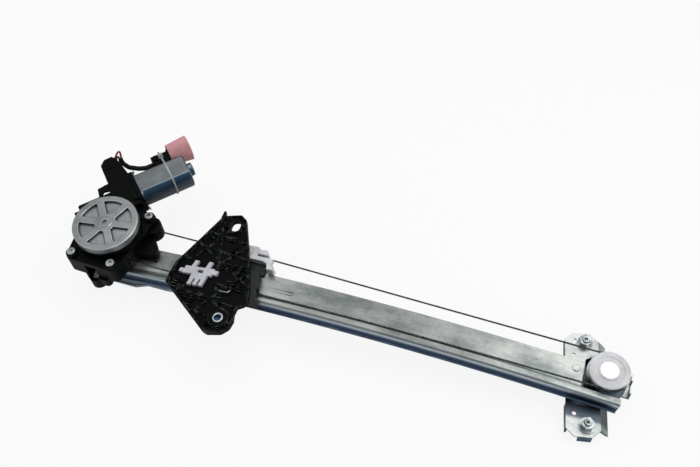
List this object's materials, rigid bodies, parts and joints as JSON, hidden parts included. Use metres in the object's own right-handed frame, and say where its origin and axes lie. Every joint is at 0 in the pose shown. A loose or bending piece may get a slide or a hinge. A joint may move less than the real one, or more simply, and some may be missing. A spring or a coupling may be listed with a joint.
{
  "type": "window regulator",
  "caption": "Cable window regulator: curved pressed-steel rail, geared motor with cable drum, return pulley bracket and sliding glass carrier.",
  "frame": {"origin": "centre of the mount bush's bore at its lower face, on the motor end of the rail", "axes": "+X along the rail from the motor to the return pulley, +Y across the rail towards the motor can, +Z away from the door panel"},
  "size_m": [0.5593, 0.2076, 0.073],
  "materials": {
    "galvanised": "satin zinc-plated sheet",
    "bracket_steel": "satin zinc-plated sheet",
    "bolt_steel": "bright zinc",
    "black_plastic": "fine textured",
    "carrier_plastic": "moulded, slightly worn",
    "dark_plastic": "smooth moulded",
    "white_plastic": "smooth moulded",
    "pulley_plastic": "milky nylon",
    "cover_aluminium": "pressed, satin",
    "can_steel": "zinc-coated, satin",
    "magnet": "ground ferrite",
    "bronze": "sintered bronze",
    "card": "smooth moulded",
    "carbon": "pressed carbon",
    "spring_steel": "oiled",
    "copper": "enamelled copper",
    "shaft_steel": "ground",
    "laminations": "punched silicon steel",
    "wheel_plastic": "acetal",
    "damper_rubber": "soft",
    "drum_plastic": "nylon",
    "cable_steel": "greased strand",
    "wire_red": "insulation",
    "wire_green": "insulation",
    "sleeve": "taped tube",
    "tie_nylon": "natural nylon",
    "cap_pink": "soft translucent moulding"
  },
  "bodies": {
    "frame": {"guide_rail": "galvanised", "end_bracket": "bracket_steel", "adjusting_studs": "bolt_steel", "stud_nuts": "bolt_steel", "bracket_rivet": "bolt_steel", "drum_housing": "black_plastic", "housing_rivets": "bolt_steel", "mount_bush": "bolt_steel", "gear_housing": "black_plastic", "gear_cover": "cover_aluminium", "motor_screws": "bolt_steel", "output_bushing": "bronze", "motor_can": "can_steel", "magnets": "magnet", "end_bearing": "bronze", "worm_bushings": "bronze", "brush_card": "card", "carbon_brushes": "carbon", "brush_springs": "spring_steel", "can_screws": "bolt_steel", "motor_plug": "black_plastic", "red_wire": "wire_red", "green_wire": "wire_green", "harness_sleeve": "sleeve", "pigtail_connector": "black_plastic", "zip_tie": "tie_nylon", "return_cable": "cable_steel", "left_cable_run": "cable_steel", "right_cable_run": "cable_steel"},
    "rotor": {"armature_shaft": "shaft_steel", "lamination_stack": "laminations", "armature_windings": "copper", "commutator": "copper"},
    "drum": {"worm_wheel": "wheel_plastic", "rubber_damper": "damper_rubber", "drive_plate": "shaft_steel", "cable_drum": "drum_plastic", "drum_cable_turns": "cable_steel"},
    "pulley": {"return_pulley": "pulley_plastic"},
    "carrier": {"carrier_plate": "carrier_plastic", "glass_clip": "white_plastic", "slider_shoe": "dark_plastic", "edge_guide": "dark_plastic", "cable_block": "pulley_plastic", "cable_ends": "bolt_steel", "tension_spring": "spring_steel", "glass_bush": "bolt_steel"},
    "cap": {"connector_cap": "cap_pink"}
  },
  "joints": [
    {"name": "rotor_spin", "type": "hinge", "parent": "frame", "child": "rotor", "pos_m": [-0.02102, 0.05973, 0.0385], "axis": [0.6947, 0.7193, 0], "range_deg": [-49894.36, 3235.54]},
    {"name": "drum_spin", "type": "hinge", "parent": "frame", "child": "drum", "pos_m": [0.002, 0.0375, 0.031], "axis": [0, 0, 1], "range_deg": [-817.97, 53.07]},
    {"name": "pulley_spin", "type": "hinge", "parent": "frame", "child": "pulley", "pos_m": [0.494, 0.0375, 0.0166], "axis": [0, 0, 1], "range_deg": [-973.48, 62.89]},
    {"name": "carrier_travel", "type": "hinge", "parent": "frame", "child": "carrier", "pos_m": [0.25, 0.0375, -2.0115], "axis": [0, 1, 0], "range_deg": [-0.5, 7.99], "deforming": ["left_cable_run", "right_cable_run"]},
    {"name": "cap_slide", "type": "slide", "parent": "frame", "child": "cap", "axis": [0.6947, 0.7193, 0], "range_m": [0, 0.02]}
  ],
  "couplings": [
    {"joint": "drum_spin", "follows": "carrier_travel", "ratio": -102.17},
    {"joint": "pulley_spin", "follows": "carrier_travel", "ratio": -121.63},
    {"joint": "rotor_spin", "follows": "carrier_travel", "ratio": -6232.4}
  ]
}
